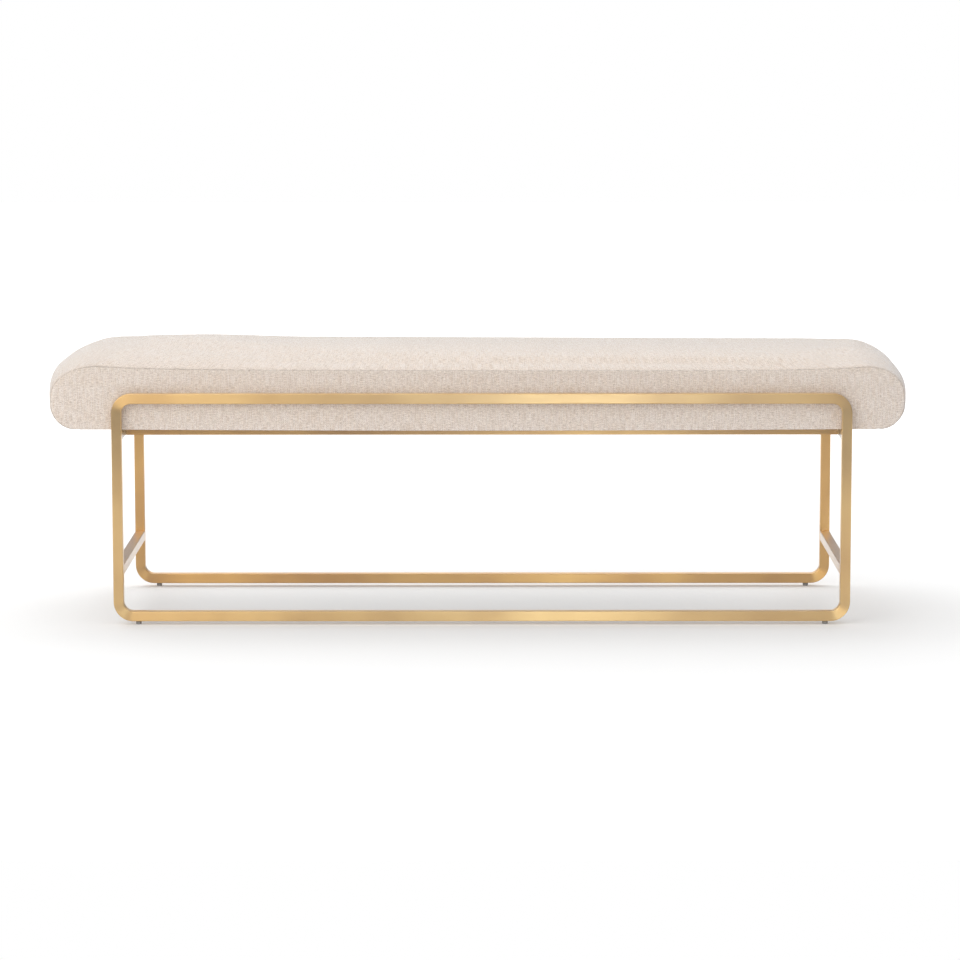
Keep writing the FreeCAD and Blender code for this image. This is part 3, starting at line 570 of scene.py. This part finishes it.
def brushedBrass(name, run, tone):
    # Steel tube with a brushed brass finish: fine lines along the tube, satin reflections, slightly uneven lacquer.
    # run says which way the tube goes: X, Y, or round the loop.
    d, s = brass, loopShape
    gold, shade = d[tone]
    material, tree, shader = newMaterial(name)
    place = addNode(tree, "TexCoord").outputs["Object"]
    split = addNode(tree, "SeparateXYZ", inputs={0: place})
    value = {axis: split.outputs[axis.upper()] for axis in "xyz"}
    if run == "loop":
        # across is how far out of the tube's centre line a point lies, in the plane of the loop: the distance from
        # a rectangle with round corners. pullX and pullZ point outwards there.
        sums = [
            ("sizeX", "ABSOLUTE", "x", 0.0),
            ("outX", "SUBTRACT", "sizeX", s["halfLength"] - s["bend"]),
            ("fromMiddle", "SUBTRACT", "z", s["middleZ"]),
            ("sizeZ", "ABSOLUTE", "fromMiddle", 0.0),
            ("outZ", "SUBTRACT", "sizeZ", s["halfHeight"] - s["bend"]),
            ("pastX", "MAXIMUM", "outX", 0.0),
            ("pastZ", "MAXIMUM", "outZ", 0.0),
            ("squareX", "POWER", "pastX", 2.0),
            ("squareZ", "POWER", "pastZ", 2.0),
            ("squares", "ADD", "squareX", "squareZ"),
            ("corner", "SQRT", "squares", 0.0),
            ("larger", "MAXIMUM", "outX", "outZ"),
            ("inside", "MINIMUM", "larger", 0.0),
            ("reach", "ADD", "corner", "inside"),
            ("across", "SUBTRACT", "reach", s["bend"] - s["side"] / 2),
            ("along", "ADD", "x", "z"),
            ("signX", "SIGN", "x", 0.0),
            ("signZ", "SIGN", "fromMiddle", 0.0),
            ("pullX", "MULTIPLY", "pastX", "signX"),
            ("pullZ", "MULTIPLY", "pastZ", "signZ"),
            ("turnedX", "MULTIPLY", "pullX", -1.0),
        ]
        across, other, along, tangent = "across", "y", "along", {0: "pullZ", 2: "turnedX"}
    elif run == "X":
        sums, across, other, along, tangent = [], "z", "y", "x", {0: 1.0}
    else:
        sums, across, other, along, tangent = [], "x", "z", "y", {1: 1.0}
    sums += [("lineAcross", "DIVIDE", across, d["lineWidth"]), ("lineOther", "DIVIDE", other, d["lineWidth"]),
             ("lineAlong", "DIVIDE", along, d["lineLength"])]
    for key, operation, first, second in sums:
        operands = {0: value.get(first, first), 1: value.get(second, second)}
        value[key] = addNode(tree, "Math", {"operation": operation}, operands).outputs[0]
    grain = addNode(tree, "CombineXYZ", inputs={slot: value.get(part, part) for slot, part in tangent.items()})
    lines = addNode(tree, "CombineXYZ", inputs={0: value["lineAcross"], 1: value["lineOther"], 2: value["lineAlong"]})
    brushed = addNode(tree, "TexNoise", inputs={"Vector": lines.outputs[0], "Scale": 1.0, "Detail": 3.0}).outputs["Fac"]
    patches = addNode(tree, "TexNoise", inputs={"Vector": place, "Scale": 1 / d["patch"], "Detail": 2.0}).outputs["Fac"]
    uneven = addNode(tree, "MapRange", inputs={"Value": patches, "From Min": 0.35, "From Max": 0.7}).outputs[0]
    colour = addNode(tree, "Mix", {"data_type": "RGBA"}, {0: uneven, 6: toLinear(gold), 7: toLinear(shade)})
    rough = addNode(tree, "MapRange", inputs={
        "Value": brushed, "From Min": 0.3, "From Max": 0.7, "To Min": d["smoothest"], "To Max": d["roughest"]})
    bump = addNode(tree, "Bump", inputs={"Strength": 0.4, "Distance": d["relief"], "Height": brushed})
    feed(tree, shader, {
        "Base Color": colour.outputs[2], "Roughness": rough.outputs[0], "Normal": bump.outputs["Normal"],
        "Metallic": 1.0, "Tangent": grain.outputs[0], "Anisotropic": d["stretch"],
        "Anisotropic Rotation": 0.25,   # a quarter turn, so that highlights lie across the lines
        "Coat Weight": d["lacquer"], "Coat Roughness": d["lacquerRoughness"], "Coat IOR": d["lacquerIor"]})
    return material


plainFinishes = {
    # colour, second colour, grain in mm (x, y, z), roughness low and high, metallic
    "zinc-plated steel": ("#b9bbbd", "#8f9296", (3, 3, 3), 0.28, 0.45, 1.0),
    "bright steel thread": ("#a9abad", "#7f8285", (4, 4, 0.5), 0.30, 0.42, 1.0),
    "grey nylon": ("#8f8d89", "#7b7874", (1.5, 1.5, 1.5), 0.48, 0.62, 0.0),
    "birch plywood": ("#c9aa7c", "#a98655", (180, 6, 1.5), 0.60, 0.75, 0.0),
    "staple wire": ("#a7a9ab", "#85878a", (2, 2, 2), 0.30, 0.45, 1.0),
    "black spunbond cloth": ("#191919", "#262626", (1.2, 1.2, 1.2), 0.85, 0.97, 0.0),
}


def plainFinish(name):
    # one grainy material: noise stretched to the grain's size tints the colour and varies the gloss
    colourA, colourB, grain, smoothest, roughest, metallic = plainFinishes[name]
    material, tree, shader = newMaterial(name)
    place = addNode(tree, "TexCoord").outputs["Object"]
    scaled = addNode(tree, "VectorMath", {"operation": "MULTIPLY"}, {0: place, 1: tuple(1 / (g * mm) for g in grain)})
    noise = addNode(tree, "TexNoise", inputs={"Vector": scaled.outputs[0], "Scale": 1.0, "Detail": 3.0}).outputs["Fac"]
    share = addNode(tree, "MapRange", inputs={"Value": noise, "From Min": 0.3, "From Max": 0.7}).outputs[0]
    colour = addNode(tree, "Mix", {"data_type": "RGBA"}, {0: share, 6: toLinear(colourA), 7: toLinear(colourB)})
    rough = addNode(tree, "MapRange", inputs={"Value": noise, "To Min": smoothest, "To Max": roughest})
    bump = addNode(tree, "Bump", inputs={"Strength": 0.25, "Distance": 0.05 * mm, "Height": noise})
    feed(tree, shader, {"Base Color": colour.outputs[2], "Roughness": rough.outputs[0],
                        "Normal": bump.outputs["Normal"], "Metallic": metallic})
    return material


def finish(piece, material):
    if not piece.material_slots:
        piece.data.materials.append(material)
    for slot in piece.material_slots:
        slot.material = material


corners = ("front_left", "front_right", "rear_left", "rear_right")
finish(seatCushion, wovenLinen())
finish(dustCloth, plainFinish("black spunbond cloth"))
finishes = {
    "loop": (brushedBrass("brushed brass loop", "loop", "front"), ["front_loop"]),
    # the rear loop, the seat rails and the stretchers take the darker tone, painted shade
    "rearLoop": (brushedBrass("brushed brass rear loop", "loop", "behind"), ["rear_loop"]),
    "rails": (brushedBrass("brushed brass along X", "X", "behind"), ["front_seat_rail", "rear_seat_rail"]),
    "cross": (brushedBrass("brushed brass along Y", "Y", "behind"), ["left_stretcher", "right_stretcher"]),
    # the bearers take the darkest tone, painted shade under the seat's ends
    "bearers": (brushedBrass("shade-dark brass along Y", "Y", "shadeDark"), ["left_seat_bearer", "right_seat_bearer"]),
    "glides": (plainFinish("grey nylon"), [f"{corner}_foot_glide" for corner in corners]),
    "threads": (plainFinish("bright steel thread"), ["foot_bushes"] + [f"{corner}_foot_stud" for corner in corners]),
    "fasteners": (plainFinish("zinc-plated steel"), ["tee_nuts", "seat_bolts", "seat_washers"]),
    "board": (plainFinish("birch plywood"), ["seat_board"]),
    "staples": (plainFinish("staple wire"), [f"{side}_hem_staples" for side in ("front", "rear", "left", "right")]),
}
for material, names in finishes.values():
    for name in names:
        finish(nodes[name], material)
print("materials set")


# Studio: pale floor, white room, soft lights overhead, on the background and in front

studio = {
    "floor": "#dadada", "floorWidth": 60.0, "floorFront": -2.0, "floorBack": 12.0,
    "floorGlow": 0.18,                 # the floor glows a little, painted light, so that shadows stay pale
    # the floor is brighter away from the bench, so that its edges are lost in the white
    "farGlow": 0.45, "farFrom": 1.2, "farTo": 3.0,
    "horizon": 0.28, "zenith": 1.1,    # the white room as the bench sees it; the camera sees it as plain white
    "leftRight": 0.30,                 # the room is this much brighter on the left
    "behind": 0.75,                    # and has this share of the light behind the bench
    "lamps": {
        "overhead": {"place": (-0.4, 1.7, 3.2), "aim": (0, 0, 0.35), "size": (4.0, 2.4),
                     "power": 50.0, "tint": "#fafdff"},
        "backdrop": {"place": (1.0, 8.5, 4.5), "aim": (1.0, 8.5, 0), "size": (10.0, 7.0),
                     "power": 240.0, "tint": "#ffffff"},
        "front": {"place": (0.29, -4.6, 0.8), "aim": (0, 0, 0.35), "size": (0.28, 1.6),
                  "power": 20.0, "tint": "#d4e6ff"},
        "fill": {"place": (-1.8, -3.4, 1.4), "aim": (0, 0, 0.35), "size": (2.6, 1.6),
                 "power": 36.0, "tint": "#fffaf2"},
    },
}
floorSide, floorFront, floorBack = studio["floorWidth"] / 2, studio["floorFront"], studio["floorBack"]
floorPoints = np.array([[-floorSide, floorFront, 0], [floorSide, floorFront, 0],
                        [floorSide, floorBack, 0], [-floorSide, floorBack, 0]])
floor = placePiece("floor", buildMesh("floor", floorPoints, np.array([[0, 1, 2, 3]])))
floorMaterial, floorTree, floorShader = newMaterial("glowing matt white paper")
spot = addNode(floorTree, "TexCoord").outputs["Object"]
away = addNode(floorTree, "VectorMath", {"operation": "LENGTH"}, {0: spot})
glow = addNode(floorTree, "MapRange", inputs={
    "Value": away.outputs["Value"], "From Min": studio["farFrom"], "From Max": studio["farTo"],
    "To Min": studio["floorGlow"], "To Max": studio["farGlow"]})
feed(floorTree, floorShader, {
    "Base Color": toLinear(studio["floor"]), "Emission Color": (1, 1, 1, 1), "Emission Strength": glow.outputs[0],
    "Roughness": 0.9, "Specular IOR Level": 0.1})
finish(floor, floorMaterial)
world = bpy.data.worlds.new("white room")
world.use_nodes = True
room = world.node_tree
room.nodes.clear()
seen = addNode(room, "Background", inputs={"Color": (1, 1, 1, 1), "Strength": 1.0})
heading = addNode(room, "SeparateXYZ", inputs={0: addNode(room, "TexCoord").outputs["Generated"]})
bright = addNode(room, "MapRange", inputs={
    "Value": heading.outputs["Z"], "From Min": 0.0, "From Max": 0.6,
    "To Min": studio["horizon"], "To Max": studio["zenith"]})
lean = addNode(room, "MapRange", inputs={
    "Value": heading.outputs["X"], "From Min": -1.0, "From Max": 1.0,
    "To Min": 1 + studio["leftRight"], "To Max": 1 - studio["leftRight"]})
dim = addNode(room, "MapRange", inputs={
    "Value": heading.outputs["Y"], "From Min": 0.0, "From Max": 0.8, "To Min": 1.0, "To Max": studio["behind"]})
power = addNode(room, "Math", {"operation": "MULTIPLY"}, {0: bright.outputs[0], 1: lean.outputs[0]})
power = addNode(room, "Math", {"operation": "MULTIPLY"}, {0: power.outputs[0], 1: dim.outputs[0]})
lit = addNode(room, "Background", inputs={"Color": (1, 1, 1, 1), "Strength": power.outputs[0]})
ray = addNode(room, "LightPath")
blend = addNode(room, "MixShader", inputs={0: ray.outputs["Is Camera Ray"], 1: lit.outputs[0], 2: seen.outputs[0]})
addNode(room, "OutputWorld", inputs={0: blend.outputs[0]})
bpy.context.scene.world = world
bpy.context.scene.view_settings.view_transform = "Standard"
for name, setting in studio["lamps"].items():
    lamp = bpy.data.lights.new(name, "AREA")
    lamp.shape = "RECTANGLE"
    lamp.size, lamp.size_y = setting["size"]
    lamp.energy = setting["power"]
    lamp.color = toLinear(setting["tint"])[:3]
    light = bpy.data.objects.new(name, lamp)
    light.location = setting["place"]
    aim = Vector(setting["aim"]) - Vector(setting["place"])
    light.rotation_euler = aim.to_track_quat("-Z", "Y").to_euler()
    bpy.context.scene.collection.objects.link(light)
print("studio lit")


# Camera at the photograph's place, read from the frame's edges in the picture (960 x 960)

view = {
    "place": (18.9 * mm, -6794.8 * mm, 1158.65 * mm),
    "yaw": -0.00331,
    "pitch": 0.13567,
    "roll": -0.00095,
    "lens": 139.95,
    "sensor": 36.0,
}
forward = Vector((math.sin(view["yaw"]) * math.cos(view["pitch"]),
                  math.cos(view["yaw"]) * math.cos(view["pitch"]), -math.sin(view["pitch"])))
level = Vector((math.cos(view["yaw"]), -math.sin(view["yaw"]), 0.0))
above = level.cross(forward)
right = math.cos(view["roll"]) * level + math.sin(view["roll"]) * above
up = -math.sin(view["roll"]) * level + math.cos(view["roll"]) * above
cameraData = bpy.data.cameras.new("camera")
cameraData.lens = view["lens"]
cameraData.sensor_width = view["sensor"]
cameraData.sensor_fit = "HORIZONTAL"
camera = bpy.data.objects.new("camera", cameraData)
camera.matrix_world = Matrix((right, up, -forward)).transposed().to_4x4()
camera.location = view["place"]
bpy.context.scene.collection.objects.link(camera)
bpy.context.scene.camera = camera
